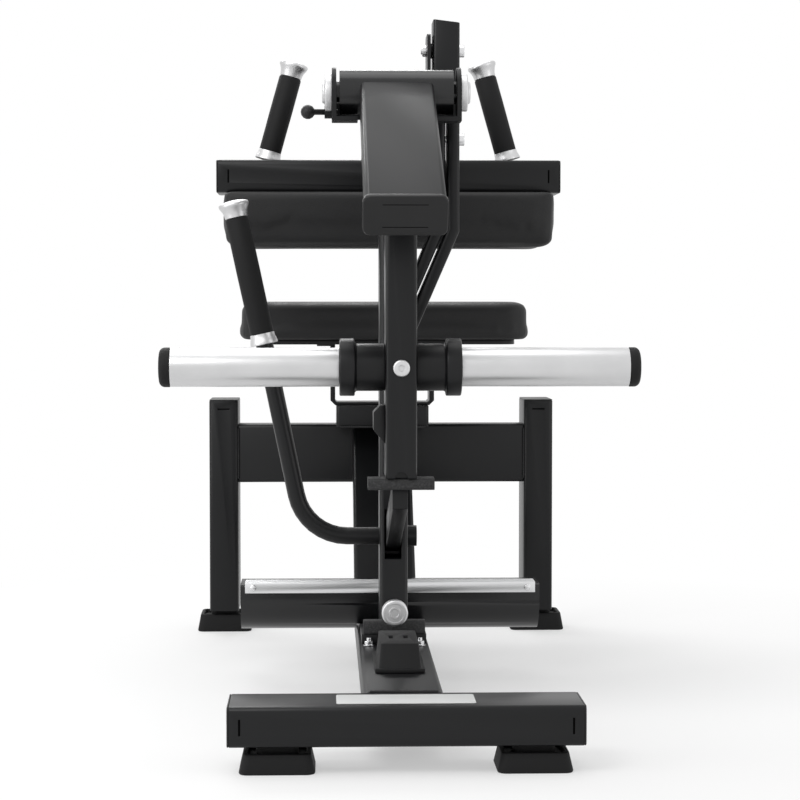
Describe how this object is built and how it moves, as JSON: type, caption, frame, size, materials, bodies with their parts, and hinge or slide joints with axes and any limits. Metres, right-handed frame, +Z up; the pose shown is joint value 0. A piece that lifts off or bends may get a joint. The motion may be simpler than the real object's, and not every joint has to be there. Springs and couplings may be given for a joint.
{
  "type": "seated calf raise machine",
  "caption": "Floor-standing lever machine for seated calf raises, with a thigh pad, weight horns, foot rest, padded seat and a release handle.",
  "frame": {"origin": "on the floor, under the middle of the machine's length and width", "axes": "+X to the right seen from the front bar, +Y from the front bar to the seat, +Z up"},
  "size_m": [0.637, 1.2986, 0.9753],
  "materials": {
    "frame_coat": "satin black powder coat",
    "sleeve_steel": "bright turned steel",
    "chrome_trim": "polished chrome",
    "aluminium_trim": "clear anodised aluminium",
    "rubber": "matt black rubber",
    "black_plastic": "satin black moulding",
    "pad_leather": "black upholstery leatherette"
  },
  "bodies": {
    "frame": {"front_crossbar": "frame_coat", "front_foot_left": "rubber", "front_foot_right": "rubber", "base_beam": "frame_coat", "rear_brace": "frame_coat", "rear_crossbeam": "frame_coat", "rear_upright_left": "frame_coat", "rear_upright_right": "frame_coat", "rear_foot_left": "rubber", "rear_foot_right": "rubber", "foot_rest_body": "frame_coat", "foot_rest_strip": "aluminium_trim", "main_post": "frame_coat", "lower_band_peg": "frame_coat", "post_bolt": "chrome_trim", "stop_block": "rubber", "pivot_cradle": "frame_coat", "pivot_shaft": "sleeve_steel", "pivot_cap_left": "chrome_trim", "pivot_cap_right": "chrome_trim", "side_tube_inner": "frame_coat", "side_tube_outer": "frame_coat", "side_post_head": "frame_coat", "pivot_plate": "frame_coat", "plate_bolt_upper": "chrome_trim", "plate_bolt_lower": "chrome_trim", "pad_pivot_shaft": "sleeve_steel", "post_bumper": "rubber", "seat_pedestal": "frame_coat", "seat_bracket": "frame_coat", "seat_base": "frame_coat", "seat_cushion": "pad_leather"},
    "weight_lever": {"pivot_barrel": "frame_coat", "box_arm": "frame_coat", "box_arm_cap": "black_plastic", "lever_arm": "frame_coat", "catch_bar": "frame_coat", "arm_striker": "frame_coat", "horn_hub_left": "frame_coat", "horn_hub_right": "frame_coat", "horn_sleeve_left": "sleeve_steel", "horn_sleeve_right": "sleeve_steel", "horn_cap_left": "rubber", "horn_cap_right": "rubber", "horn_bolt": "chrome_trim"},
    "pad_lever": {"pad_arm": "frame_coat", "toe_roller": "sleeve_steel", "pad_tube": "frame_coat", "thigh_pad": "pad_leather", "pad_handle_core_left": "aluminium_trim", "pad_handle_core_right": "aluminium_trim", "pad_handle_grip_left": "rubber", "pad_handle_grip_right": "rubber"},
    "release_handle": {"release_bar": "frame_coat", "release_grip": "rubber", "release_grip_collar": "aluminium_trim", "release_grip_cap": "aluminium_trim", "catch_finger": "frame_coat"},
    "lock_pin": {"lock_pin": "black_plastic"}
  },
  "joints": [
    {"name": "weight_lever_swing", "type": "hinge", "parent": "frame", "child": "weight_lever", "pos_m": [0, -0.24934, 0.858], "axis": [-1, 0, 0], "range_deg": [0, 15]},
    {"name": "pad_lever_swing", "type": "hinge", "parent": "frame", "child": "pad_lever", "pos_m": [0, -0.08434, 0.87], "axis": [1, 0, 0], "range_deg": [0, 15]},
    {"name": "release_handle_swing", "type": "hinge", "parent": "frame", "child": "release_handle", "pos_m": [0, -0.10434, 0.2345], "axis": [1, 0, 0], "range_deg": [0, 20]},
    {"name": "lock_pin_pull", "type": "slide", "parent": "frame", "child": "lock_pin", "axis": [-1, 0, 0], "range_m": [0, 0.012], "stiffness_N_per_m": 500}
  ],
  "couplings": [
    {"joint": "pad_lever_swing", "follows": "weight_lever_swing", "ratio": 1}
  ]
}
